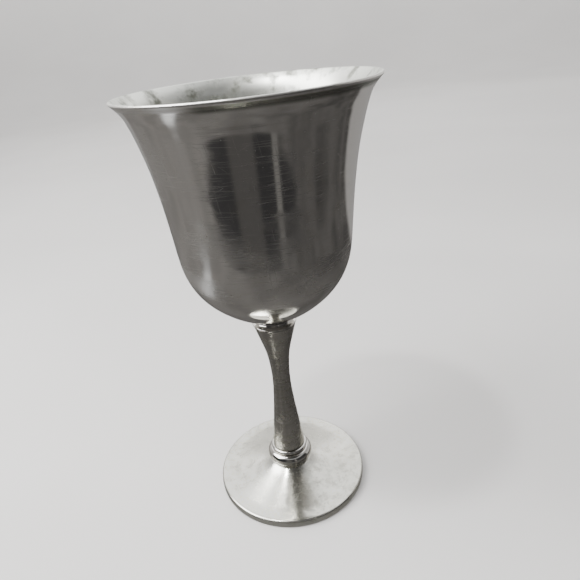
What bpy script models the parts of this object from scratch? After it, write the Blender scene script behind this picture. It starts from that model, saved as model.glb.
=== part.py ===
"""Silver-plated communion chalice, as the separate pieces that a tie rod clamps together.

Every piece is turned or spun about the Z axis. The chalice stands on the plane z = 0 and the
origin is the middle of its foot. Units are metres.
"""

from math import cos, pi, radians, sin

import bmesh
import bpy
from mathutils import Vector

MM = 0.001

# Driving dimensions
HEIGHT = 165.0 * MM
RIM_RADIUS = 42.9 * MM
FOOT_RADIUS = 31.8 * MM
GAP = 0.3 * MM                      # clearance at every seat, socket and thread

BOWL_WALL = 1.1 * MM
LIP_NORMAL = -38.0                  # degrees; where the outer wall leaves the rounded lip
BOWL_SEAT_RADIUS = 8.4 * MM
BOWL_SEAT_Z = 81.6 * MM
BOWL_FLOOR_THICKNESS = 1.6 * MM
BOWL_FLOOR_DISH = 0.5 * MM          # rise of the inner floor from its middle over its dish
BOWL_DISH_RADIUS = 5.0 * MM

COLLAR_RIM_RADIUS = 8.7 * MM
COLLAR_RIM_THICKNESS = 0.5 * MM
COLLAR_WAIST_RADIUS = 6.9 * MM
COLLAR_WAIST_DEPTH = 1.2 * MM       # from the collar's top down to its waist
COLLAR_COVE_RISE = 0.55 * MM
COLLAR_COVE_FALL = 0.75 * MM
COLLAR_EDGE_BREAK = 0.15 * MM
COLLAR_SPIGOT_RADIUS = 5.2 * MM
COLLAR_SPIGOT_LENGTH = 2.1 * MM

BOSS_FLANGE_RADIUS = 5.5 * MM
BOSS_FLANGE_THICKNESS = 1.3 * MM
BOSS_RADIUS = 3.8 * MM
BOSS_LENGTH = 6.8 * MM
BOSS_HOLE_DEPTH = 5.4 * MM

STEM_TOP_Z = 78.0 * MM
STEM_BOTTOM_Z = 17.0 * MM
STEM_TOP_RADIUS = 8.35 * MM
STEM_BOTTOM_RADIUS = 6.9 * MM
STEM_WAIST_RADIUS = 3.7 * MM
STEM_WAIST_Z = 51.5 * MM

RING_RADIUS = 7.85 * MM
RING_THICKNESS = 1.7 * MM
RING_UPPER_SPIGOT_RADIUS = 3.7 * MM
RING_LOWER_SPIGOT_RADIUS = 4.4 * MM
RING_SPIGOT_LENGTH = 2.0 * MM

BEAD_RADIUS = 9.6 * MM
BEAD_THICKNESS = 5.4 * MM
BEAD_SPIGOT_LENGTH = 0.9 * MM

FOOT_SEAT_RADIUS = 8.6 * MM
FOOT_SEAT_Z = 9.0 * MM
FOOT_SHEET = 1.0 * MM
FOOT_PAN_Z = 2.9 * MM               # height of the pan where it meets the raised edge
FOOT_EDGE_RADIUS = 0.8 * MM
FOOT_SKIRT_THICKNESS = 0.9 * MM
FOOT_EDGE_DROP = 0.3 * MM           # of the edge's centre below the end of the pan
FOOT_SEAT_ROUND = 0.4 * MM
SHEET_EDGE_BREAK = 0.2 * MM

WIRE_WIDTH = 2.0 * MM
WIRE_HEIGHT = 1.4 * MM

ROD_RADIUS = 2.0 * MM               # M4 over the thread crests
ROD_BOTTOM_Z = 1.0 * MM
ROD_CHAMFER = 0.4 * MM
DISHED_WASHER_RADIUS = 7.5 * MM
DISHED_WASHER_THICKNESS = 0.7 * MM
DISHED_WASHER_DEPTH = 0.6 * MM
DISHED_WASHER_FLAT = 1.6 * MM       # width of the flat round its hole
SPRING_WASHER_RADIUS = 3.7 * MM
SPRING_WASHER_THICKNESS = 0.9 * MM
SPRING_WASHER_SLIT = 0.7 * MM
SPRING_WASHER_SLANT = 25            # degrees
NUT_ACROSS_FLATS = 7.0 * MM
NUT_THICKNESS = 3.1 * MM
NUT_CHAMFER = 0.35 * MM
NUT_OVERCUT = 0.1 * MM              # how far its blanks pass each other

WIDE_STEPS = 40                     # facets round the bowl and the foot
SLIM_STEPS = 32                     # facets round the slim pieces
MERGE = 0.00001

# Places that follow from the stack, from the bowl down
LIP_CENTRE = (RIM_RADIUS - BOWL_WALL / 2, HEIGHT - BOWL_WALL / 2)
COLLAR_TOP_Z = BOWL_SEAT_Z - GAP
COLLAR_SHOULDER_Z = STEM_TOP_Z + GAP
RING_TOP_Z = STEM_BOTTOM_Z - GAP
RING_BOTTOM_Z = RING_TOP_Z - RING_THICKNESS
BEAD_TOP_Z = RING_BOTTOM_Z - GAP
BEAD_BOTTOM_Z = FOOT_SEAT_Z + GAP
FOOT_UNDER_Z = FOOT_SEAT_Z - FOOT_SHEET
DISHED_WASHER_TOP_Z = FOOT_UNDER_Z - GAP
SPRING_WASHER_TOP_Z = DISHED_WASHER_TOP_Z - DISHED_WASHER_THICKNESS - DISHED_WASHER_DEPTH - GAP
NUT_TOP_Z = SPRING_WASHER_TOP_Z - SPRING_WASHER_THICKNESS - GAP
BOSS_TOP_Z = COLLAR_TOP_Z
BOSS_BOTTOM_Z = BOSS_TOP_Z - BOSS_LENGTH
HOLE_RADIUS = ROD_RADIUS + GAP      # every hole that the rod passes through

# Finishes: colour, roughness, metallic
POLISHED_SILVER = ("polished_silver", (0.86, 0.85, 0.82), 0.08, 1.0)
SATIN_SILVER = ("satin_silver", (0.80, 0.78, 0.75), 0.32, 1.0)
BRASS = ("brass", (0.78, 0.62, 0.34), 0.30, 1.0)
STEEL = ("plated_steel", (0.62, 0.62, 0.63), 0.35, 1.0)


# ---- outlines: lists of (radius, height) points ---------------------------------------------

def arc(centre, radius, start, end, spans):
    """Points on a circle from one angle to another, in degrees, both ends included."""
    angles = [radians(start + (end - start) * step / spans) for step in range(spans + 1)]
    return [(centre[0] + radius * cos(angle), centre[1] + radius * sin(angle)) for angle in angles]


def smooth_curve(stations, spans):
    """A Catmull-Rom curve through the stations, with the same number of spans between each two."""
    points = [Vector(station) for station in stations]
    before = points[0] * 2 - points[1]
    after = points[-1] * 2 - points[-2]
    padded = [before] + points + [after]
    curve = []
    for index in range(1, len(padded) - 2):
        p0, p1, p2, p3 = padded[index - 1:index + 3]
        for step in range(spans):
            t = step / spans
            linear = (p2 - p0) * t
            square = (p0 * 2 - p1 * 5 + p2 * 4 - p3) * t ** 2
            cubic = (p1 * 3 - p0 - p2 * 3 + p3) * t ** 3
            curve.append(tuple((p1 * 2 + linear + square + cubic) / 2))
    curve.append(tuple(points[-1]))
    return curve


def inset(points, distance):
    """The outline moved towards the axis side, for an outline that runs from top to bottom."""
    moved = []
    for index, (radius, height) in enumerate(points):
        ahead = Vector(points[min(index + 1, len(points) - 1)])
        behind = Vector(points[max(index - 1, 0)])
        along = (ahead - behind).normalized()
        moved.append((radius + along.y * distance, height - along.x * distance))
    return moved


def millimetres(stations):
    """Stations written in millimetres, as metres."""
    return [(radius * MM, height * MM) for radius, height in stations]


def bowl_side():
    """Outer wall of the tulip: flared lip, nearly straight waist, round belly, conical base."""
    lip_end = arc(LIP_CENTRE, BOWL_WALL / 2, LIP_NORMAL, LIP_NORMAL, 1)[0]
    stations = millimetres([
        (39.6, 160.2),
        (36.9, 152.0),
        (34.6, 141.5),
        (32.9, 129.0),
        (31.8, 117.0),
        (30.8, 107.5),
        (28.4, 100.0),
        (24.0, 93.4),
        (16.9, 87.0),
    ])
    return smooth_curve([lip_end] + stations + [(BOWL_SEAT_RADIUS, BOWL_SEAT_Z)], 2)


def stem_side():
    """Outer wall of the stem: a long waist, flared at the top to the collar's rim."""
    stations = millimetres([(6.5, 71.4), (4.75, 64.6), (3.95, 58.2)])
    stations.append((STEM_WAIST_RADIUS, STEM_WAIST_Z))
    stations += millimetres([(3.95, 44.8), (4.6, 37.4), (5.6, 27.8)])
    return smooth_curve([(STEM_TOP_RADIUS, STEM_TOP_Z)] + stations
                        + [(STEM_BOTTOM_RADIUS, STEM_BOTTOM_Z)], 2)


def foot_pan():
    """Upper side of the foot, from its seat out to the raised edge: a shallow trumpet."""
    stations = millimetres([(12.0, 7.35), (17.5, 5.55), (24.0, 3.95)])
    edge = (FOOT_RADIUS - 2 * FOOT_EDGE_RADIUS, FOOT_PAN_Z)
    return smooth_curve([(FOOT_SEAT_RADIUS, FOOT_SEAT_Z)] + stations + [edge], 2)


# ---- making objects -------------------------------------------------------------------------

def clear_scene():
    for item in list(bpy.data.objects):
        bpy.data.objects.remove(item, do_unlink=True)


def new_collection(name):
    collection = bpy.data.collections.new(name)
    bpy.context.scene.collection.children.link(collection)
    return collection


def finish_material(finish):
    name, colour, roughness, metallic = finish
    material = bpy.data.materials.get(name) or bpy.data.materials.new(name)
    material.use_nodes = True
    shader = material.node_tree.nodes["Principled BSDF"]
    shader.inputs["Base Color"].default_value = (*colour, 1.0)
    shader.inputs["Roughness"].default_value = roughness
    shader.inputs["Metallic"].default_value = metallic
    material.diffuse_color = (*colour, 1.0)
    return material


def profile_object(name, outline, closed, steps, collection):
    """An outline in the XZ plane, turned about Z by a Screw modifier."""
    mesh = bpy.data.meshes.new(name)
    edges = [(index, index + 1) for index in range(len(outline) - 1)]
    if closed:
        edges.append((len(outline) - 1, 0))
    mesh.from_pydata([(radius, 0.0, height) for radius, height in outline], edges, [])
    item = bpy.data.objects.new(name, mesh)
    collection.objects.link(item)
    screw = item.modifiers.new("turn", "SCREW")
    screw.axis = "Z"
    screw.angle = 2 * pi
    screw.steps = steps
    screw.render_steps = steps
    screw.use_merge_vertices = True
    screw.merge_threshold = MERGE
    return item


def apply_modifiers(item):
    """Replace the mesh with its evaluated one, shaded smooth but crisp at its corners."""
    depsgraph = bpy.context.evaluated_depsgraph_get()
    depsgraph.update()
    mesh = bpy.data.meshes.new_from_object(item.evaluated_get(depsgraph))
    mesh.name = item.name
    item.modifiers.clear()
    item.data = mesh
    mesh.shade_smooth()
    mesh.set_sharp_from_angle(angle=radians(35))


def turned(name, outline, finish, steps=SLIM_STEPS, closed=True):
    """A turned piece; a closed outline has a hole through its middle, an open one has none."""
    item = profile_object(name, outline, closed, steps, parts)
    apply_modifiers(item)
    item.data.materials.clear()
    item.data.materials.append(finish_material(finish))
    return item


def cutter(item):
    """Hide a shape that only cuts another."""
    item.hide_render = True
    item.display_type = "WIRE"
    return item


def boolean(item, operation, tool):
    modifier = item.modifiers.new(operation.lower(), "BOOLEAN")
    modifier.operation = operation
    modifier.solver = "EXACT"
    modifier.object = tool


# ---- the bowl and its boss ------------------------------------------------------------------

def make_bowl():
    outer = bowl_side()
    inner = inset(outer, BOWL_WALL)[:-2]
    floor_z = BOWL_SEAT_Z + BOWL_FLOOR_THICKNESS
    dish = (BOWL_DISH_RADIUS, floor_z + BOWL_FLOOR_DISH)
    floor = smooth_curve([(0.0, floor_z), dish, inner[-1]], 3)
    lip = arc(LIP_CENTRE, BOWL_WALL / 2, LIP_NORMAL + 180, LIP_NORMAL, 6)
    outline = floor[:-1] + inner[:0:-1] + lip + outer[1:] + [(0.0, BOWL_SEAT_Z)]
    turned("bowl", outline, POLISHED_SILVER, WIDE_STEPS, closed=False)


def make_bowl_boss():
    flange_under = BOSS_TOP_Z - BOSS_FLANGE_THICKNESS
    outline = [
        (0.0, BOSS_TOP_Z),
        (BOSS_FLANGE_RADIUS, BOSS_TOP_Z),
        (BOSS_FLANGE_RADIUS, flange_under),
        (BOSS_RADIUS, flange_under),
        (BOSS_RADIUS, BOSS_BOTTOM_Z),
        (HOLE_RADIUS, BOSS_BOTTOM_Z),
        (HOLE_RADIUS, BOSS_BOTTOM_Z + BOSS_HOLE_DEPTH),
        (0.0, BOSS_BOTTOM_Z + BOSS_HOLE_DEPTH),
    ]
    turned("bowl_boss", outline, BRASS, closed=False)


# ---- the stem and its turned mounts ---------------------------------------------------------

def make_neck_collar():
    """Concave collar with a thin rim below, a socket for the boss and a spigot into the stem."""
    waist_z = COLLAR_TOP_Z - COLLAR_WAIST_DEPTH
    rim_top_z = COLLAR_SHOULDER_Z + COLLAR_RIM_THICKNESS
    cove = smooth_curve([
        (BOWL_SEAT_RADIUS - GAP, COLLAR_TOP_Z - COLLAR_EDGE_BREAK),
        (COLLAR_WAIST_RADIUS + COLLAR_COVE_RISE / 2, waist_z + COLLAR_COVE_RISE),
        (COLLAR_WAIST_RADIUS, waist_z),
        (COLLAR_WAIST_RADIUS + COLLAR_COVE_RISE, waist_z - COLLAR_COVE_FALL),
        (COLLAR_RIM_RADIUS - COLLAR_EDGE_BREAK, rim_top_z),
    ], 2)
    flange_seat_z = BOSS_TOP_Z - BOSS_FLANGE_THICKNESS - GAP
    spigot_end_z = COLLAR_SHOULDER_Z - COLLAR_SPIGOT_LENGTH
    outline = [(BOWL_SEAT_RADIUS - GAP, COLLAR_TOP_Z)] + cove + [
        (COLLAR_RIM_RADIUS, rim_top_z - COLLAR_EDGE_BREAK),
        (COLLAR_RIM_RADIUS - COLLAR_EDGE_BREAK, COLLAR_SHOULDER_Z),
        (COLLAR_SPIGOT_RADIUS, COLLAR_SHOULDER_Z),
        (COLLAR_SPIGOT_RADIUS, spigot_end_z),
        (BOSS_RADIUS + GAP, spigot_end_z),
        (BOSS_RADIUS + GAP, flange_seat_z),
        (BOSS_FLANGE_RADIUS + GAP, flange_seat_z),
        (BOSS_FLANGE_RADIUS + GAP, COLLAR_TOP_Z),
    ]
    turned("neck_collar", outline, POLISHED_SILVER)


def make_stem():
    """Hollow stem with a stepped socket for collar and boss, and one below for the ring."""
    collar_socket_z = COLLAR_SHOULDER_Z - COLLAR_SPIGOT_LENGTH - GAP
    boss_socket_z = BOSS_BOTTOM_Z - GAP
    ring_socket_z = RING_TOP_Z + RING_SPIGOT_LENGTH + GAP
    outline = stem_side() + [
        (RING_UPPER_SPIGOT_RADIUS + GAP, STEM_BOTTOM_Z),
        (RING_UPPER_SPIGOT_RADIUS + GAP, ring_socket_z),
        (HOLE_RADIUS, ring_socket_z),
        (HOLE_RADIUS, boss_socket_z),
        (BOSS_RADIUS + GAP, boss_socket_z),
        (BOSS_RADIUS + GAP, collar_socket_z),
        (COLLAR_SPIGOT_RADIUS + GAP, collar_socket_z),
        (COLLAR_SPIGOT_RADIUS + GAP, STEM_TOP_Z),
    ]
    turned("stem", outline, SATIN_SILVER)


def make_stem_ring():
    """Thin half-round ring with a spigot up into the stem and one down into the bead."""
    half = RING_THICKNESS / 2
    edge = arc((RING_RADIUS - half, RING_TOP_Z - half), half, 90, -90, 6)
    outline = [
        (RING_UPPER_SPIGOT_RADIUS, RING_TOP_Z + RING_SPIGOT_LENGTH),
        (RING_UPPER_SPIGOT_RADIUS, RING_TOP_Z),
    ] + edge + [
        (RING_LOWER_SPIGOT_RADIUS, RING_BOTTOM_Z),
        (RING_LOWER_SPIGOT_RADIUS, RING_BOTTOM_Z - RING_SPIGOT_LENGTH),
        (HOLE_RADIUS, RING_BOTTOM_Z - RING_SPIGOT_LENGTH),
        (HOLE_RADIUS, RING_TOP_Z + RING_SPIGOT_LENGTH),
    ]
    turned("stem_ring", outline, POLISHED_SILVER)


def make_foot_bead():
    """Round bead with a socket for the ring above and a spigot through the foot below."""
    half = BEAD_THICKNESS / 2
    belly = arc((BEAD_RADIUS - half, BEAD_TOP_Z - half), half, 90, -90, 8)
    socket_z = RING_BOTTOM_Z - RING_SPIGOT_LENGTH - GAP
    outline = [(RING_LOWER_SPIGOT_RADIUS + GAP, BEAD_TOP_Z)] + belly + [
        (RING_LOWER_SPIGOT_RADIUS, BEAD_BOTTOM_Z),
        (RING_LOWER_SPIGOT_RADIUS, BEAD_BOTTOM_Z - BEAD_SPIGOT_LENGTH),
        (HOLE_RADIUS, BEAD_BOTTOM_Z - BEAD_SPIGOT_LENGTH),
        (HOLE_RADIUS, socket_z),
        (RING_LOWER_SPIGOT_RADIUS + GAP, socket_z),
    ]
    turned("foot_bead", outline, POLISHED_SILVER)


# ---- the foot -------------------------------------------------------------------------------

def make_foot():
    """Spun foot: flat seat with a hole, trumpet pan, raised rounded edge, turned-down skirt."""
    pan = foot_pan()
    edge_centre = (FOOT_RADIUS - FOOT_EDGE_RADIUS, FOOT_PAN_Z - FOOT_EDGE_DROP)
    edge = arc(edge_centre, FOOT_EDGE_RADIUS, 125, 0, 5)
    skirt_radius = FOOT_RADIUS - FOOT_SKIRT_THICKNESS
    underside = inset(pan, FOOT_SHEET)
    outline = [(RING_LOWER_SPIGOT_RADIUS + GAP, FOOT_SEAT_Z)] + pan[:-1] + edge + [
        (FOOT_RADIUS, GAP + SHEET_EDGE_BREAK),
        (FOOT_RADIUS - SHEET_EDGE_BREAK, GAP),
        (skirt_radius, GAP),
        (skirt_radius, underside[-1][1]),
    ] + underside[::-1][1:-1] + [
        (FOOT_SEAT_RADIUS - FOOT_SEAT_ROUND, FOOT_UNDER_Z),
        (RING_LOWER_SPIGOT_RADIUS + GAP, FOOT_UNDER_Z),
    ]
    turned("foot", outline, SATIN_SILVER, WIDE_STEPS)


def make_foot_wire():
    """Flat wire ring inside the skirt, which the chalice stands on."""
    outside = FOOT_RADIUS - FOOT_SKIRT_THICKNESS - GAP
    inside = outside - WIRE_WIDTH
    outline = [
        (inside + SHEET_EDGE_BREAK, WIRE_HEIGHT),
        (outside, WIRE_HEIGHT),
        (outside, 0.0),
        (inside + SHEET_EDGE_BREAK, 0.0),
        (inside, SHEET_EDGE_BREAK),
        (inside, WIRE_HEIGHT - SHEET_EDGE_BREAK),
    ]
    turned("foot_wire", outline, SATIN_SILVER, WIDE_STEPS)


# ---- the tie rod and its fastening ----------------------------------------------------------

def make_tie_rod():
    """Threaded rod, drawn at its crest diameter, from inside the boss to just below the nut."""
    top_z = BOSS_BOTTOM_Z + BOSS_HOLE_DEPTH - GAP
    outline = [
        (0.0, top_z),
        (ROD_RADIUS - ROD_CHAMFER, top_z),
        (ROD_RADIUS, top_z - ROD_CHAMFER),
        (ROD_RADIUS, ROD_BOTTOM_Z + ROD_CHAMFER),
        (ROD_RADIUS - ROD_CHAMFER, ROD_BOTTOM_Z),
        (0.0, ROD_BOTTOM_Z),
    ]
    turned("tie_rod", outline, STEEL, closed=False)


def make_dished_washer():
    """Washer whose rim bears on the underside of the foot."""
    rim_top = DISHED_WASHER_TOP_Z
    hole_top = rim_top - DISHED_WASHER_DEPTH
    outline = [
        (HOLE_RADIUS, hole_top),
        (HOLE_RADIUS + DISHED_WASHER_FLAT, hole_top),
        (DISHED_WASHER_RADIUS, rim_top),
        (DISHED_WASHER_RADIUS, rim_top - DISHED_WASHER_THICKNESS),
        (HOLE_RADIUS + DISHED_WASHER_FLAT, hole_top - DISHED_WASHER_THICKNESS),
        (HOLE_RADIUS, hole_top - DISHED_WASHER_THICKNESS),
    ]
    turned("dished_washer", outline, BRASS)


def make_spring_washer():
    """Flat ring cut through once by a slanted slit."""
    bottom = SPRING_WASHER_TOP_Z - SPRING_WASHER_THICKNESS
    ring = turned("spring_washer", [
        (HOLE_RADIUS, SPRING_WASHER_TOP_Z),
        (SPRING_WASHER_RADIUS, SPRING_WASHER_TOP_Z),
        (SPRING_WASHER_RADIUS, bottom),
        (HOLE_RADIUS, bottom),
    ], STEEL)
    bm = bmesh.new()
    bmesh.ops.create_cube(bm, size=1.0)
    reach = 2 * (SPRING_WASHER_RADIUS - HOLE_RADIUS + GAP)
    bmesh.ops.scale(bm, verts=bm.verts, vec=(reach, SPRING_WASHER_SLIT, reach))
    mesh = bpy.data.meshes.new("spring_washer_slit")
    bm.to_mesh(mesh)
    bm.free()
    slit = cutter(bpy.data.objects.new("spring_washer_slit", mesh))
    slit.location = (SPRING_WASHER_RADIUS, 0.0, (SPRING_WASHER_TOP_Z + bottom) / 2)
    slit.rotation_euler = (radians(SPRING_WASHER_SLANT), 0.0, 0.0)
    cutters.objects.link(slit)
    boolean(ring, "DIFFERENCE", slit)
    apply_modifiers(ring)


def make_hex_nut():
    """Hexagonal nut, chamfered and bored by its common volume with a turned blank."""
    corner_radius = NUT_ACROSS_FLATS / 2 / cos(radians(30))
    bottom = NUT_TOP_Z - NUT_THICKNESS
    blank_outline = [
        (HOLE_RADIUS, NUT_TOP_Z),
        (corner_radius - 2 * NUT_CHAMFER, NUT_TOP_Z),
        (corner_radius + NUT_OVERCUT, NUT_TOP_Z - NUT_CHAMFER),
        (corner_radius + NUT_OVERCUT, bottom + NUT_CHAMFER),
        (corner_radius - 2 * NUT_CHAMFER, bottom),
        (HOLE_RADIUS, bottom),
    ]
    blank = cutter(profile_object("hex_nut_blank", blank_outline, True, SLIM_STEPS, cutters))
    apply_modifiers(blank)
    bm = bmesh.new()
    bmesh.ops.create_cone(
        bm, cap_ends=True, segments=6, radius1=corner_radius, radius2=corner_radius,
        depth=NUT_THICKNESS + 2 * NUT_OVERCUT)
    mesh = bpy.data.meshes.new("hex_nut")
    bm.to_mesh(mesh)
    bm.free()
    mesh.materials.append(finish_material(BRASS))
    nut = bpy.data.objects.new("hex_nut", mesh)
    nut.location = (0.0, 0.0, (NUT_TOP_Z + bottom) / 2)
    parts.objects.link(nut)
    boolean(nut, "INTERSECT", blank)
    apply_modifiers(nut)


clear_scene()
parts = new_collection("communion_chalice")
cutters = new_collection("cutters")

make_bowl()
make_bowl_boss()
make_neck_collar()
make_stem()
make_stem_ring()
make_foot_bead()
make_foot()
make_foot_wire()
make_tie_rod()
make_dished_washer()
make_spring_washer()
make_hex_nut()
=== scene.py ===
"""Looks of the silver-plated communion chalice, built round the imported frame. Units are metres."""

from math import ceil, cos, pi, radians, sin
from types import SimpleNamespace

import bmesh
import bpy
from mathutils import Matrix, Vector, noise


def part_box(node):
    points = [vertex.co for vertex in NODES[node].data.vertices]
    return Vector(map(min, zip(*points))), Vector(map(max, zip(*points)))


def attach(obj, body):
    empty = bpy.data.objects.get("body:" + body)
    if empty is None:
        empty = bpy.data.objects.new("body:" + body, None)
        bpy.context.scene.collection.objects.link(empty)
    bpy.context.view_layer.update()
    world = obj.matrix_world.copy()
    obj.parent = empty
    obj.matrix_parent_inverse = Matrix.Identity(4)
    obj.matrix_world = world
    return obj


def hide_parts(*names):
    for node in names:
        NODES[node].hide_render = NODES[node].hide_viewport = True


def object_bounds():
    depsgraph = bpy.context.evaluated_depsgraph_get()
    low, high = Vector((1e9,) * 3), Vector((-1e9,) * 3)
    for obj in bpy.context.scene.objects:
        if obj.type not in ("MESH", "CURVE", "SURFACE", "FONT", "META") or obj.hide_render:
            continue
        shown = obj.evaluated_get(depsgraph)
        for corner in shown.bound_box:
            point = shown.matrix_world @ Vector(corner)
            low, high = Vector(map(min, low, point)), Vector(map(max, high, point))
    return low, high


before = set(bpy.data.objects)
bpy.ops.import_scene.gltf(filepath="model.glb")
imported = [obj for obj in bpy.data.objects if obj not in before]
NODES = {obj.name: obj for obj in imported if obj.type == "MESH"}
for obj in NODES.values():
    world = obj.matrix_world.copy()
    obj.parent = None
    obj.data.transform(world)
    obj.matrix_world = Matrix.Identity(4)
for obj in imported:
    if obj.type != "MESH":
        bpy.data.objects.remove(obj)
cad_low, cad_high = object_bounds()

MM = 0.001
HEIGHT = cad_high.z - cad_low.z

# Fineness of the visible surfaces
SEGMENTS = 256                      # round each piece
WALL_STEP = 0.6 * MM                # along the bowl's and the foot's outlines
TRIM_STEP = 0.25 * MM               # along the small pieces' outlines
CORNER_TURN = radians(38)           # an outline that turns more than this at a point has a corner
CORNER_SETBACK = 0.14 * MM
CORNER_SPANS = 4
UNEVEN = 2.5                        # neighbouring spans this unequal take the longer's direction
THREAD_PITCH = 0.7 * MM
THREAD_DEPTH = 0.38 * MM
THREAD_SIDES = 48
THREAD_ENDS = 0.12 * MM             # chamfer of the rod's ends
THREAD_AT_NUT = 13 * MM
THREAD_AT_BOSS = 9 * MM
EDGE_BREAK = 0.08 * MM              # on the small hardware
SAME = 0.001 * MM                   # closer points are one point

# Heights on the bowl, in millimetres as the materials measure them
LIP = cad_high.z / MM
BOWL_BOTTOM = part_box("bowl")[0][2] / MM
BOWL_GIRTH = 34.0                   # the bowl's usual radius


# ---- outlines taken from the CAD nodes ------------------------------------------------------

def outline_of(node):
    """The node's section at y = 0, x >= 0: (points, closed), running down its outer side."""
    flat = 0.01 * MM
    bm = bmesh.new()
    bm.from_mesh(NODES[node].data)
    bmesh.ops.remove_doubles(bm, verts=bm.verts, dist=SAME)
    on_plane = {vert for vert in bm.verts if abs(vert.co.y) < flat and vert.co.x > -flat}
    links = {vert: [edge.other_vert(vert) for edge in vert.link_edges
                    if edge.other_vert(vert) in on_plane] for vert in on_plane}
    ends = [vert for vert in on_plane if len(links[vert]) == 1]
    start = max(ends or on_plane, key=lambda vert: vert.co.z)
    path = [start]
    while True:
        ahead = [vert for vert in links[path[-1]] if vert not in path[-2:]]
        if not ahead or ahead[0] is start:
            break
        path.append(ahead[0])
    points = [Vector((max(vert.co.x, 0.0), vert.co.z)) for vert in path]
    bm.free()
    area = sum(a.x * b.y - b.x * a.y for a, b in zip(points, points[1:] + points[:1]))
    return (points if area < 0 else points[::-1]), not ends


def turn_at(before, here, after):
    return (here - before).angle(after - here, 0.0)


def runs_between_corners(points, closed):
    """The outline cut at its corners, as lists of points that share their end points."""
    count = len(points)
    if closed:
        first = max(range(count), key=lambda i: turn_at(points[i - 1], points[i],
                                                        points[(i + 1) % count]))
        points = points[first:] + points[:first + 1]
    cuts = [0] + [i for i in range(1, len(points) - 1)
                  if turn_at(points[i - 1], points[i], points[i + 1]) > CORNER_TURN]
    cuts.append(len(points) - 1)
    return [points[a:b + 1] for a, b in zip(cuts, cuts[1:])]


def pulled_back(corner, towards, setback):
    """A point a little way from the corner, and less than half way to the next point."""
    chord = towards - corner
    return corner + chord.normalized() * min(setback, 0.45 * chord.length)


def shortened(run, at_start, at_end, setback):
    """The run with its ends pulled back from the corners."""
    run = list(run)
    if at_start:
        run[0] = pulled_back(run[0], run[1], setback)
    if at_end:
        run[-1] = pulled_back(run[-1], run[-2], setback)
    return run


def directions(run):
    """Tangent directions at a run's points, exact where the points lie on a circle."""
    chords = [b - a for a, b in zip(run, run[1:])]
    inner = []
    for before, after in zip(chords, chords[1:]):
        if max(before.length, after.length) > UNEVEN * min(before.length, after.length):
            inner.append(max(before, after, key=lambda chord: chord.length).normalized())
        else:
            inner.append((before / before.length_squared + after / after.length_squared)
                         .normalized())
    if not inner:
        return [chords[0].normalized()] * 2
    first = inner[0].reflect(chords[0].orthogonal().normalized())
    last = inner[-1].reflect(chords[-1].orthogonal().normalized())
    return [first] + inner + [last]


def smoothed(run, step):
    """A smooth curve through the run's points, with a point about every step."""
    if len(run) == 2:
        length = (run[1] - run[0]).length
        along = (run[1] - run[0]).normalized() * min(0.2 * MM, length / 3)
        return [run[0], run[0] + along, run[1] - along, run[1]]
    tangents = directions(run)
    curve = []
    for (a, b), (ta, tb) in zip(zip(run, run[1:]), zip(tangents, tangents[1:])):
        length = (b - a).length
        spans = max(1, ceil(length / step))
        for index in range(spans):
            t = index / spans
            start_weight = 2 * t ** 3 - 3 * t ** 2 + 1
            end_weight = 3 * t ** 2 - 2 * t ** 3
            start_pull = (t ** 3 - 2 * t ** 2 + t) * length
            end_pull = (t ** 3 - t ** 2) * length
            curve.append(a * start_weight + ta * start_pull + b * end_weight + tb * end_pull)
    curve.append(run[-1])
    return curve


def fine_outline(node, step, setback):
    """The CAD outline with its curves smoothed and its corners rounded: (points, closed)."""
    points, closed = outline_of(node)
    runs = runs_between_corners(points, closed)
    fine = []
    for index, run in enumerate(runs):
        is_first, is_last = index == 0, index == len(runs) - 1
        short = shortened(run, closed or not is_first, closed or not is_last, setback)
        fine += smoothed(short, step)
        if is_last and not closed:
            break
        corner = run[-1]
        following = runs[(index + 1) % len(runs)]
        end = shortened(following, True, False, setback)[0]
        for part in range(1, CORNER_SPANS):
            t = part / CORNER_SPANS
            fine.append(short[-1] * (1 - t) ** 2 + corner * 2 * t * (1 - t) + end * t ** 2)
    return fine, closed


def turned(name, outline, closed, segments=SEGMENTS):
    """A mesh object swept round Z from an outline."""
    mesh = bpy.data.meshes.new(name)
    edges = [(index, index + 1) for index in range(len(outline) - 1)]
    if closed:
        edges.append((len(outline) - 1, 0))
    mesh.from_pydata([(point.x, 0.0, point.y) for point in outline], edges, [])
    piece = bpy.data.objects.new(name, mesh)
    bpy.context.scene.collection.objects.link(piece)
    screw = piece.modifiers.new("turn", "SCREW")
    screw.axis = "Z"
    screw.angle = 2 * pi
    screw.steps = segments
    screw.render_steps = segments
    screw.use_merge_vertices = True
    screw.merge_threshold = SAME
    depsgraph = bpy.context.evaluated_depsgraph_get()
    solid = bpy.data.meshes.new_from_object(piece.evaluated_get(depsgraph))
    piece.modifiers.clear()
    piece.data = solid
    solid.name = name
    solid.shade_smooth()
    return piece


def stand_for(piece, node, material):
    """The piece rides on the root body, replaces its CAD node and takes its material."""
    piece.data.materials.clear()
    piece.data.materials.append(material)
    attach(piece, "root")
    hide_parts(node)


def fine_piece(node, material, step=TRIM_STEP, segments=SEGMENTS, setback=CORNER_SETBACK):
    outline, closed = fine_outline(node, step, setback)
    piece = turned(node + "_surface", outline, closed, segments)
    stand_for(piece, node, material)
    return piece


def softened(node, material):
    """A copy of a CAD node with its edges broken stands for it."""
    piece = NODES[node].copy()
    piece.data = NODES[node].data.copy()
    piece.name = node + "_surface"
    piece.parent = None
    bpy.context.scene.collection.objects.link(piece)
    bm = bmesh.new()
    bm.from_mesh(piece.data)
    bmesh.ops.remove_doubles(bm, verts=bm.verts, dist=SAME)
    sharp = [edge for edge in bm.edges if edge.calc_face_angle(0.0) > CORNER_TURN]
    bmesh.ops.bevel(bm, geom=sharp, offset=EDGE_BREAK, segments=3, profile=0.5,
                    affect="EDGES", clamp_overlap=True)
    bm.to_mesh(piece.data)
    bm.free()
    piece.data.shade_smooth()
    stand_for(piece, node, material)


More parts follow.
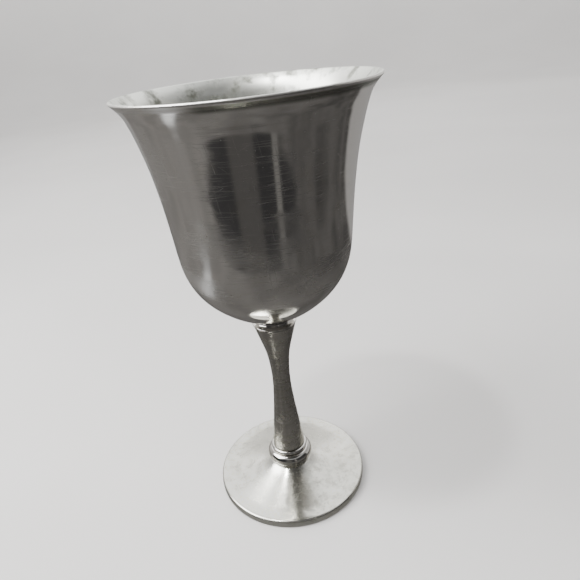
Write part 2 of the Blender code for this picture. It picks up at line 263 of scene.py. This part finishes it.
def threaded(node, material):
    """The tie rod, with a rolled thread at each end and a plain shank between."""
    low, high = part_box(node)
    major = high[0]
    threads = ((low[2] + THREAD_ENDS, low[2] + THREAD_AT_NUT),
               (high[2] - THREAD_AT_BOSS, high[2] - THREAD_ENDS))

    def share_of_depth(z):
        """The grooves run in and out over one pitch at a thread's ends; the shank has none."""
        for start, stop in threads:
            if start <= z <= stop:
                return min(z - start, stop - z, THREAD_PITCH) / THREAD_PITCH
        return 0.0

    heights = [low[2] + THREAD_ENDS, high[2] - THREAD_ENDS]
    for start, stop in threads:
        count = round((stop - start) / (THREAD_PITCH / 10))
        heights += [start + (stop - start) * i / count for i in range(count + 1)]
    heights = sorted(set(heights))
    bm = bmesh.new()
    rows = [[bm.verts.new((0.0, 0.0, low[2]))] * THREAD_SIDES]
    for z in heights:
        inset = THREAD_ENDS if z in (heights[0], heights[-1]) else 0.0
        row = []
        for side in range(THREAD_SIDES):
            angle = 2 * pi * side / THREAD_SIDES
            phase = (z / THREAD_PITCH - side / THREAD_SIDES) % 1.0
            groove = THREAD_DEPTH * abs(2 * phase - 1) * share_of_depth(z)
            radius = major - inset - groove
            row.append(bm.verts.new((radius * cos(angle), radius * sin(angle), z)))
        rows.append(row)
    rows.append([bm.verts.new((0.0, 0.0, high[2]))] * THREAD_SIDES)
    for lower, upper in zip(rows, rows[1:]):
        for side in range(THREAD_SIDES):
            after = (side + 1) % THREAD_SIDES
            corners = [lower[side], lower[after], upper[after], upper[side]]
            bm.faces.new(list(dict.fromkeys(corners)))
    mesh = bpy.data.meshes.new(node + "_surface")
    bm.to_mesh(mesh)
    bm.free()
    mesh.shade_smooth()
    piece = bpy.data.objects.new(node + "_surface", mesh)
    bpy.context.scene.collection.objects.link(piece)
    stand_for(piece, node, material)


def let_it_wave(piece, depth, width, dings):
    """Pushes the sheet in and, less far, out, as spun and handled metal is, with a few dents."""
    for vert in piece.data.vertices:
        place = vert.co / width
        swell = noise.noise(place) + 0.5 * noise.noise(place * 2.3 + Vector((7.0, 3.0, 1.0)))
        push = swell * depth
        for centre, reach, dip in dings:
            far = (vert.co - centre).length / reach
            if far < 1:
                push -= dip * (1 - far * far) ** 2
        out = Vector((vert.co.x, vert.co.y, 0.0)).normalized()
        vert.co += out * (push if push < 0 else push * 0.3)
    piece.data.update()


def mark_inside(piece):
    """A point attribute that is 1 on faces that look towards the axis and 0 on the outer side."""
    values = []
    for vert in piece.data.vertices:
        out = Vector((vert.co.x, vert.co.y, 0.0)).normalized()
        lean = vert.normal.dot(out) - 0.9 * vert.normal.z
        values.append(min(1.0, max(0.0, 0.5 - 2.0 * lean)))
    layer = piece.data.attributes.new("inside", "FLOAT", "POINT")
    layer.data.foreach_set("value", values)


# ---- material nodes -------------------------------------------------------------------------

class Finish:
    """A material under construction, with short ways to add and join its nodes."""

    def __init__(self, name):
        self.material = bpy.data.materials.new(name)
        self.material.use_nodes = True
        self.tree = self.material.node_tree
        self.shader = self.tree.nodes["Principled BSDF"]

    def join(self, value, socket):
        if isinstance(value, bpy.types.NodeSocket):
            self.tree.links.new(value, socket)
        else:
            socket.default_value = value

    def math(self, operation, *values):
        """One value from two or more, taken in from the left."""
        result = values[0]
        for value in values[1:]:
            node = self.tree.nodes.new("ShaderNodeMath")
            node.operation = operation
            self.join(result, node.inputs[0])
            self.join(value, node.inputs[1])
            result = node.outputs[0]
        return result

    def add(self, *values):
        return self.math("ADD", *values)

    def times(self, *values):
        return self.math("MULTIPLY", *values)

    def without(self, value):
        return self.math("SUBTRACT", 1.0, value)

    def ramp(self, value, low, high, to_low=0.0, to_high=1.0):
        """value from low to high becomes to_low to to_high, smoothly and clamped."""
        node = self.tree.nodes.new("ShaderNodeMapRange")
        node.interpolation_type = "SMOOTHSTEP"
        for value_in, socket in zip((value, low, high, to_low, to_high), node.inputs):
            self.join(value_in, socket)
        return node.outputs[0]

    def vector(self, x, y, z):
        node = self.tree.nodes.new("ShaderNodeCombineXYZ")
        for value, socket in zip((x, y, z), node.inputs):
            self.join(value, socket)
        return node.outputs[0]

    def noise(self, vector, scale, detail=2.0, roughness=0.5):
        node = self.tree.nodes.new("ShaderNodeTexNoise")
        self.join(vector, node.inputs["Vector"])
        node.inputs["Scale"].default_value = scale
        node.inputs["Detail"].default_value = detail
        node.inputs["Roughness"].default_value = roughness
        return node.outputs["Fac"]

    def attribute(self, name):
        node = self.tree.nodes.new("ShaderNodeAttribute")
        node.attribute_name = name
        return node.outputs["Fac"]

    def dots(self, vector, scale):
        """How far each point is from the nearest of many scattered points."""
        node = self.tree.nodes.new("ShaderNodeTexVoronoi")
        self.join(vector, node.inputs["Vector"])
        node.inputs["Scale"].default_value = scale
        return node.outputs["Distance"]

    def mix(self, factor, first, second):
        node = self.tree.nodes.new("ShaderNodeMix")
        node.data_type = "RGBA"
        self.join(factor, node.inputs["Factor"])
        self.join(first, node.inputs["A"])
        self.join(second, node.inputs["B"])
        return node.outputs["Result"]

    def bump(self, height, strength, distance, normal=None):
        node = self.tree.nodes.new("ShaderNodeBump")
        node.inputs["Strength"].default_value = strength
        node.inputs["Distance"].default_value = distance
        self.join(height, node.inputs["Height"])
        if normal is not None:
            self.join(normal, node.inputs["Normal"])
        return node.outputs["Normal"]

    def surface_place(self):
        """Where the surface is, in millimetres, and its way round the axis, 0 at the front."""
        coordinates = self.tree.nodes.new("ShaderNodeTexCoord")
        scaled = self.tree.nodes.new("ShaderNodeVectorMath")
        scaled.operation = "SCALE"
        scaled.inputs["Scale"].default_value = 1 / MM
        self.tree.links.new(coordinates.outputs["Object"], scaled.inputs[0])
        parts = self.tree.nodes.new("ShaderNodeSeparateXYZ")
        self.tree.links.new(scaled.outputs[0], parts.inputs[0])
        x, y, z = parts.outputs
        radius = self.math("POWER", self.add(self.times(x, x), self.times(y, y)), 0.5)
        return SimpleNamespace(point=scaled.outputs[0], x=x, y=y, z=z, radius=radius,
                               profile=self.add(radius, z),
                               around=self.math("ARCTAN2", x, self.times(y, -1.0)))

    def brushed_round(self, amount):
        """The grain runs round the axis, so highlights stretch across it."""
        node = self.tree.nodes.new("ShaderNodeTangent")
        node.direction_type = "RADIAL"
        node.axis = "Z"
        self.tree.links.new(node.outputs[0], self.shader.inputs["Tangent"])
        self.shader.inputs["Anisotropic"].default_value = amount
        self.shader.inputs["Anisotropic Rotation"].default_value = 0.25

    def finish(self, colour, roughness, metallic, normal=None):
        self.join(colour, self.shader.inputs["Base Color"])
        self.join(roughness, self.shader.inputs["Roughness"])
        self.shader.inputs["Metallic"].default_value = metallic
        if normal is not None:
            self.join(normal, self.shader.inputs["Normal"])
        return self.material


def hairlines(finish, place, spacing, seed):
    """Fine lines that run round the axis, as a lathe and a buffing wheel leave them."""
    along = 0.035                                    # how much the lines change on their way round
    lines = finish.vector(finish.times(place.x, along), finish.times(place.y, along),
                          finish.add(finish.times(place.profile, 1 / spacing), seed))
    return finish.noise(lines, 1.0, detail=3.0, roughness=0.6)


def scratches(finish, across, down, angle, length, seed, share):
    """Straight scattered scratches in one direction; share is how much of the surface they take."""
    width = 0.22
    bend = finish.times(finish.noise(finish.vector(across, down, seed), 0.02), 3.0)
    along = finish.add(finish.times(across, cos(angle)), finish.times(down, sin(angle)))
    aside = finish.add(finish.times(down, cos(angle)), finish.times(across, -sin(angle)), bend)
    stretched = finish.vector(finish.times(along, 1 / length), finish.times(aside, 1 / width), seed)
    return finish.ramp(finish.noise(stretched, 1.0, detail=0.0), 0.80 - share, 0.86 - share)


SILVER = (0.90, 0.88, 0.84, 1.0)
WARM_SILVER = (0.86, 0.82, 0.74, 1.0)
DULL_SILVER = (0.84, 0.85, 0.79, 1.0)
# darker than the bowl's silver: partly tarnish, partly painted shade that tones down the small
# turnings' bright reflections
TARNISHED_SHADED_TRIM_SILVER = (0.72, 0.70, 0.66, 1.0)
# painted shade: the stem's silver is darker than the foot's, standing in for the dark surroundings
# it mirrors
SHADED_STEM_SILVER = (0.64, 0.62, 0.59, 1.0)
FOOT_SILVER = (0.86, 0.852, 0.785, 1.0)
TARNISH = (0.46, 0.45, 0.38, 1.0)
# tarnish spots inside the bowl, and the painted shade under the lip
DARK_TARNISH_AND_SHADE = (0.25, 0.255, 0.22, 1.0)

# Directions in degrees from the way round, lengths in millimetres, shares of the surface
BOWL_SCRATCHES = ((1.0, 16.0, 0.06), (-4.0, 22.0, 0.05), (7.0, 10.0, 0.05),
                  (31.0, 7.0, 0.01), (-48.0, 8.0, 0.01), (96.0, 22.0, 0.01))


def polished_silver(name):
    """The bowl: mirror-polished and handled outside, dull and spotted inside."""
    finish = Finish(name)
    place = finish.surface_place()
    point, z = place.point, place.z
    across = finish.times(place.around, BOWL_GIRTH)
    buffing = hairlines(finish, place, 0.45, 0.0)
    lines = finish.ramp(buffing, 0.56, 0.70)
    patches = finish.ramp(finish.noise(point, 0.05, detail=3.0), 0.42, 0.62)
    scratch = finish.math("MAXIMUM", *(
        scratches(finish, across, place.profile, radians(angle), length, index * 7.3, share)
        for index, (angle, length, share) in enumerate(BOWL_SCRATCHES)))
    specks = finish.ramp(finish.add(finish.dots(point, 0.42), finish.times(
        finish.noise(point, 4.0), 0.10)), 0.105, 0.07)
    smudge = finish.ramp(finish.noise(point, 0.16, detail=5.0, roughness=0.65), 0.48, 0.72)

    # Above the cone at the bottom: haze in upright drifts, and the band where it is held
    upright = finish.vector(finish.times(place.x, 0.5), finish.times(place.y, 0.5), z)
    haze = finish.ramp(finish.noise(upright, 0.055, detail=4.0, roughness=0.6), 0.46, 0.66)
    haze = finish.times(haze, finish.ramp(z, BOWL_BOTTOM + 14.4, BOWL_BOTTOM + 26.4))
    held = finish.times(finish.ramp(z, BOWL_BOTTOM + 14.4, BOWL_BOTTOM + 21.4),
                        finish.ramp(z, BOWL_BOTTOM + 34.4, BOWL_BOTTOM + 24.4))
    untouched = finish.ramp(z, BOWL_BOTTOM + 16.4, BOWL_BOTTOM + 10.4)
    rough = finish.add(0.085, finish.times(held, 0.09), finish.times(smudge, 0.05),
                       finish.times(haze, 0.16), finish.times(scratch, 0.15),
                       finish.times(specks, 0.35), finish.times(lines, patches, 0.14))
    rough = finish.times(rough, finish.without(finish.times(untouched, 0.65)))

    # The lip's underside: rougher, and darkened with painted shade that hides the foot's reflection
    # there, but for the left of the front
    rough = finish.math("MAXIMUM", rough, finish.ramp(z, LIP - 3.2, LIP - 1.8, 0.0, 0.33))
    painted_shade_under_lip = finish.times(finish.ramp(z, LIP - 3.6, LIP - 2.4),
                             finish.ramp(z, LIP - 1.0, LIP - 1.5),
                             finish.ramp(place.x, -19.0, -11.0))
    colour = finish.mix(finish.times(smudge, 0.4), SILVER, WARM_SILVER)
    # painted shade under the lip
    colour = finish.mix(finish.times(painted_shade_under_lip, 0.9), colour, DARK_TARNISH_AND_SHADE)

    grain = finish.times(buffing, finish.add(finish.times(patches, 0.5), 0.3),
                         finish.without(untouched))
    normal = finish.bump(finish.add(grain, finish.times(scratch, -0.6)), 0.16, 0.02 * MM)
    normal = finish.bump(specks, 0.5, 0.05 * MM, normal)

    # Inside
    inside = finish.attribute("inside")
    spots = finish.ramp(finish.noise(point, 0.16, detail=4.0, roughness=0.56), 0.46, 0.72)
    near_lip = finish.ramp(z, LIP - 27.0, LIP - 3.0)
    tarnish = finish.times(spots, finish.add(0.30, finish.times(near_lip, 0.70)))
    colour = finish.mix(inside, colour, finish.mix(tarnish, DULL_SILVER, DARK_TARNISH_AND_SHADE))
    dull = finish.add(0.36, finish.times(tarnish, 0.2))
    rough = finish.add(finish.times(rough, finish.without(inside)), finish.times(dull, inside))
    return finish.finish(colour, rough, 1.0, normal)


def satin_silver(name, base, spacing, brushed, mottling, tarnish, seed):
    """Satin plate with turning lines, soft mottling and a greenish tarnish in patches."""
    finish = Finish(name)
    place = finish.surface_place()
    lines = hairlines(finish, place, spacing, seed)
    coarse = hairlines(finish, place, spacing * 3.7, seed + 2.0)
    mottle = finish.ramp(finish.noise(place.point, 0.30, detail=6.0, roughness=0.7), 0.41, 0.68)
    clouds = finish.ramp(finish.noise(place.point, 0.05, detail=3.0), 0.38, 0.66)
    stains = finish.add(finish.times(mottle, 0.30), finish.times(clouds, 0.22))
    grain = finish.add(finish.ramp(lines, 0.35, 0.7), finish.ramp(coarse, 0.4, 0.65))
    tone = finish.add(finish.times(stains, mottling), finish.times(grain, tarnish))
    rough = finish.add(0.155, finish.times(mottle, 0.12), finish.times(lines, 0.08))
    finish.brushed_round(brushed)
    normal = finish.bump(finish.add(lines, coarse), 0.30, 0.03 * MM)
    return finish.finish(finish.mix(tone, base, TARNISH), rough, 1.0, normal)


def trim_silver(name):
    """Polished small turnings: fine lathe lines, a few nicks, and tarnish left by the cloth."""
    finish = Finish(name)
    place = finish.surface_place()
    lines = hairlines(finish, place, 0.16, 9.0)
    film = finish.ramp(finish.noise(place.point, 0.35, detail=5.0, roughness=0.65), 0.46, 0.72)
    nicks = finish.ramp(finish.dots(place.point, 0.9), 0.10, 0.05)
    rough = finish.add(0.09, finish.times(film, 0.12), finish.times(nicks, 0.3))
    colour = finish.mix(finish.times(film, 0.5), TARNISHED_SHADED_TRIM_SILVER, TARNISH)
    normal = finish.bump(lines, 0.12, 0.01 * MM)
    normal = finish.bump(nicks, 0.4, 0.03 * MM, normal)
    return finish.finish(colour, rough, 1.0, normal)


def turned_brass(name):
    finish = Finish(name)
    place = finish.surface_place()
    lines = hairlines(finish, place, 0.2, 3.0)
    dull = finish.ramp(finish.noise(place.point, 0.5, detail=4.0), 0.4, 0.7)
    colour = finish.mix(dull, (0.78, 0.60, 0.31, 1.0), (0.52, 0.37, 0.18, 1.0))
    rough = finish.add(0.26, finish.times(dull, 0.2))
    return finish.finish(colour, rough, 1.0, finish.bump(lines, 0.3, 0.03 * MM))


def plated_steel(name):
    finish = Finish(name)
    point = finish.surface_place().point
    grain = finish.noise(point, 3.0, detail=4.0)
    dull = finish.ramp(finish.noise(point, 0.6, detail=3.0), 0.4, 0.7)
    colour = finish.mix(dull, (0.60, 0.61, 0.63, 1.0), (0.42, 0.42, 0.43, 1.0))
    rough = finish.add(0.3, finish.times(dull, 0.18))
    return finish.finish(colour, rough, 1.0, finish.bump(grain, 0.25, 0.03 * MM))


# ---- the pieces -----------------------------------------------------------------------------

bowl_look = polished_silver("bowl_silver_look")
trim = trim_silver("trim_silver_look")
satin = satin_silver("satin_silver_look", SHADED_STEM_SILVER, spacing=0.22, brushed=0.35, mottling=0.7,
                     tarnish=0.40, seed=0.0)
foot_satin = satin_silver("foot_satin_look", FOOT_SILVER, spacing=0.5, brushed=0.85, mottling=1.25,
                          tarnish=0.04, seed=5.0)
brass = turned_brass("turned_brass_look")
steel = plated_steel("plated_steel_look")

bowl = fine_piece("bowl", bowl_look, WALL_STEP)
mark_inside(bowl)
let_it_wave(bowl, 0.05 * MM, 26 * MM, [
    (Vector((-20.0, -27.0, 126.0)) * MM, 5 * MM, 0.05 * MM),
    (Vector((14.0, -33.0, 149.0)) * MM, 3.5 * MM, 0.04 * MM),
    (Vector((-5.0, 35.0, 140.0)) * MM, 5 * MM, 0.06 * MM)])
fine_piece("neck_collar", trim, setback=0.24 * MM)
fine_piece("stem", satin)
fine_piece("stem_ring", trim)
fine_piece("foot_bead", trim)
fine_piece("foot", foot_satin, WALL_STEP)
fine_piece("foot_wire", foot_satin)
fine_piece("dished_washer", brass, segments=96)
fine_piece("bowl_boss", brass, segments=64)
threaded("tie_rod", steel)
softened("spring_washer", steel)
softened("hex_nut", brass)


# ---- studio ---------------------------------------------------------------------------------

FLOOR_FLAT = 1.6                    # metres from the chalice
ROOM = 2.5
ROOM_HEIGHT = 2.2
BEND = ROOM - FLOOR_FLAT            # radius of the curve between floor and wall

# The mirrored surroundings, in millimetres
TABLE_FRONT = -200.5                # the cover's front edge, which slants towards the left
TABLE_SLANT = 0.22
SLANTED_FROM = 20.0
BLUR = 5.5
WALL_FOOT = 284.0                   # where the pale wall starts behind, slanting to the right
WALL_SLANT = 0.44
WINDOW_ALONG = (-0.79, -0.61)       # the direction in which the window's light falls on the cover
BY_THE_FOOT = 35.5                  # painted light: the cover is lighter round the foot up to this radius

PALE_WALL = (0.90, 0.885, 0.87, 1.0)
COVER_SHADED = (0.11, 0.106, 0.103, 1.0)
COVER_SUNLIT = (0.58, 0.56, 0.54, 1.0)
COVER_PAINTED_LIGHT_BY_FOOT = (0.60, 0.585, 0.57, 1.0)
ROOM_DARK = (0.068, 0.067, 0.070, 1.0)
ROOM_PANEL = (0.175, 0.168, 0.162, 1.0)
ROOM_FRAME = (0.44, 0.43, 0.41, 1.0)


def round_floor():
    """A pale floor that curves up into a pale wall all round, far from the chalice."""
    outline = [Vector((x, cad_low.z)) for x in (0.0, 0.4, FLOOR_FLAT)]
    for step in range(1, 13):
        turn = pi / 2 * step / 12
        outline.append(Vector((FLOOR_FLAT + BEND * sin(turn), cad_low.z + BEND * (1 - cos(turn)))))
    outline.append(Vector((ROOM, ROOM_HEIGHT)))
    floor = turned("floor", outline, False, 96)
    finish = Finish("pale_floor")
    place = finish.surface_place()
    grain = finish.noise(place.point, 0.8, detail=5.0)
    tone = finish.mix(finish.ramp(finish.noise(place.point, 0.004, detail=3.0), 0.3, 0.7),
                      (0.72, 0.705, 0.69, 1.0), (0.76, 0.745, 0.73, 1.0))
    tone = finish.mix(finish.ramp(place.z, 0.0, 700.0), tone, (0.90, 0.89, 0.87, 1.0))
    floor.data.materials.append(finish.finish(tone, 0.7, 0.0, finish.bump(grain, 0.2, 0.1 * MM)))
    floor.visible_glossy = False


def only_mirrored(piece):
    """The silver reflects the piece; nothing else shows or feels it."""
    for kind in ("camera", "diffuse", "transmission", "shadow", "volume_scatter"):
        setattr(piece, "visible_" + kind, False)


def table_cover(finish, place):
    """Grey cloth with soft folds, with painted sunlight towards the left and a painted pool of light
    round the foot.
    """
    folds = finish.ramp(finish.noise(place.point, 0.012, detail=2.0), 0.35, 0.65)
    sunlit = finish.add(finish.times(finish.ramp(place.x, 260.0, -260.0), 0.75),
                        finish.times(folds, 0.25))
    cover = finish.mix(sunlit, COVER_SHADED, COVER_SUNLIT)
    painted_light_by_foot = finish.ramp(place.radius, BY_THE_FOOT + 0.5, BY_THE_FOOT - 0.5)
    return finish.mix(painted_light_by_foot, cover, COVER_PAINTED_LIGHT_BY_FOOT)


def room_beyond(finish, place):
    """The dark room beyond the table's front edge: a lighter panel and a narrow frame, upright."""
    panel = finish.times(finish.ramp(place.around, -0.50, -0.38),
                         finish.ramp(place.around, 0.06, -0.04))
    frame_edge = finish.times(finish.ramp(place.around, 0.30, 0.34),
                              finish.ramp(place.around, 0.44, 0.39))
    return finish.mix(frame_edge, finish.mix(panel, ROOM_DARK, ROOM_PANEL), ROOM_FRAME)


def window_patch(finish, place):
    """Where the window lights the cover, at the left of the chalice, fading as it goes out."""
    east, north = WINDOW_ALONG
    along = finish.add(finish.times(place.x, east), finish.times(place.y, north))
    aside = finish.add(finish.times(place.x, -north), finish.times(place.y, east))
    return finish.times(finish.ramp(aside, -131.0, -105.0), finish.ramp(aside, -73.0, -90.0),
                        finish.ramp(along, 270.0, 60.0), finish.ramp(along, 60.0, 95.0))


def table_for_reflections():
    """What the silver mirrors: a table cover, the dark room before it, a pale wall behind it."""
    outline = [Vector((0.0, cad_low.z)), Vector((FLOOR_FLAT, cad_low.z)), Vector((ROOM, BEND)),
               Vector((ROOM, ROOM_HEIGHT))]
    table = turned("mirrored_table", outline, False, 64)
    finish = Finish("mirrored_table_look")
    place = finish.surface_place()
    to_the_left = finish.math("MINIMUM", finish.add(place.x, SLANTED_FROM), 0.0)
    depth = finish.add(place.y, finish.times(to_the_left, TABLE_SLANT))
    front = finish.ramp(depth, TABLE_FRONT - BLUR, TABLE_FRONT + BLUR, 1.0, 0.0)
    behind = finish.ramp(finish.add(place.y, finish.times(place.x, WALL_SLANT)),
                         WALL_FOOT - 4 * BLUR, WALL_FOOT + 4 * BLUR)
    left = finish.ramp(finish.times(place.x, -1.0), 700.0, 900.0)
    pale = finish.times(finish.math("MAXIMUM", behind, left), finish.without(front))
    colour = finish.mix(front, table_cover(finish, place), room_beyond(finish, place))
    colour = finish.mix(pale, colour, PALE_WALL)
    finish.shader.inputs["Emission Color"].default_value = (0.93, 0.96, 1.0, 1.0)
    finish.join(window_patch(finish, place), finish.shader.inputs["Emission Strength"])
    table.data.materials.append(finish.finish(colour, 0.8, 0.0))
    only_mirrored(table)


def flag():
    """A dark card above the camera, which keeps the small turnings dark."""
    bpy.ops.mesh.primitive_plane_add(size=1.0, location=(0.06, -0.34, 0.80))
    card = bpy.context.active_object
    card.name = "flag"
    card.scale = (0.62, 0.74, 1.0)
    card.rotation_euler = (radians(-28), 0.0, 0.0)
    finish = Finish("flag_look")
    weave = finish.noise(finish.surface_place().point, 0.01)
    cloth = finish.mix(weave, (0.02, 0.02, 0.02, 1.0), (0.05, 0.05, 0.05, 1.0))
    card.data.materials.append(finish.finish(cloth, 0.9, 0.0))
    only_mirrored(card)


def make_world():
    world = bpy.data.worlds.new("studio")
    world.use_nodes = True
    background = world.node_tree.nodes["Background"]
    background.inputs["Color"].default_value = (0.80, 0.81, 0.83, 1.0)
    background.inputs["Strength"].default_value = 0.6
    bpy.context.scene.world = world


def area_light(name, place, aim, size, power, mirrored=True):
    """A softbox that the camera doesn't see, nor the silver unless it is mirrored."""
    data = bpy.data.lights.new(name, "AREA")
    data.shape = "RECTANGLE"
    data.size, data.size_y = size
    data.energy = power
    lamp = bpy.data.objects.new(name, data)
    lamp.location = place
    lamp.rotation_euler = (Vector(aim) - Vector(place)).to_track_quat("-Z", "Y").to_euler()
    lamp.visible_camera = False
    lamp.visible_glossy = mirrored
    bpy.context.scene.collection.objects.link(lamp)


# Camera, seen from the front and a little above, in heights of the chalice
CAMERA_BACK = 1.045 * HEIGHT
CAMERA_UP = 1.0736 * HEIGHT
CAMERA_PITCH = radians(26.36)
CAMERA_YAW = radians(0.28)
CAMERA_ROLL = radians(6.86)
CAMERA_LENS = 31.5                  # millimetres, on a 36 mm sensor
CAMERA_SHIFT = 0.0295


def make_camera():
    data = bpy.data.cameras.new("camera")
    data.lens = CAMERA_LENS
    data.sensor_width = 36.0
    data.shift_x = CAMERA_SHIFT
    data.clip_start = 0.01
    camera = bpy.data.objects.new("camera", data)
    bpy.context.scene.collection.objects.link(camera)
    forward = Vector((sin(CAMERA_YAW) * cos(CAMERA_PITCH), cos(CAMERA_YAW) * cos(CAMERA_PITCH),
                      -sin(CAMERA_PITCH)))
    level = Vector((cos(CAMERA_YAW), -sin(CAMERA_YAW), 0.0))
    down = forward.cross(level)
    right = level * cos(CAMERA_ROLL) + down * sin(CAMERA_ROLL)
    up = right.cross(forward)
    turn = Matrix((right, up, -forward)).transposed()
    camera.matrix_world = Matrix.Translation((0.0, -CAMERA_BACK, CAMERA_UP)) @ turn.to_4x4()
    bpy.context.scene.camera = camera


round_floor()
table_for_reflections()
flag()
make_world()
middle = (0.0, 0.0, HEIGHT / 2)
area_light("key", (-0.55, -0.05, 0.65), middle, (0.60, 0.60), 11.0)
area_light("fill", (0.55, -0.45, 0.45), middle, (0.5, 0.5), 2.0, mirrored=False)
area_light("lamp", (-0.17, -0.085, 0.68), middle, (0.045, 0.045), 1.7)
area_light("ceiling", (0.0, 0.75, 1.0), (0.0, 0.0, 0.0), (1.7, 1.2), 9.0)
area_light("backdrop", (0.0, 1.1, 1.2), (0.0, 2.3, 0.3), (2.4, 0.6), 16.0, mirrored=False)
make_camera()
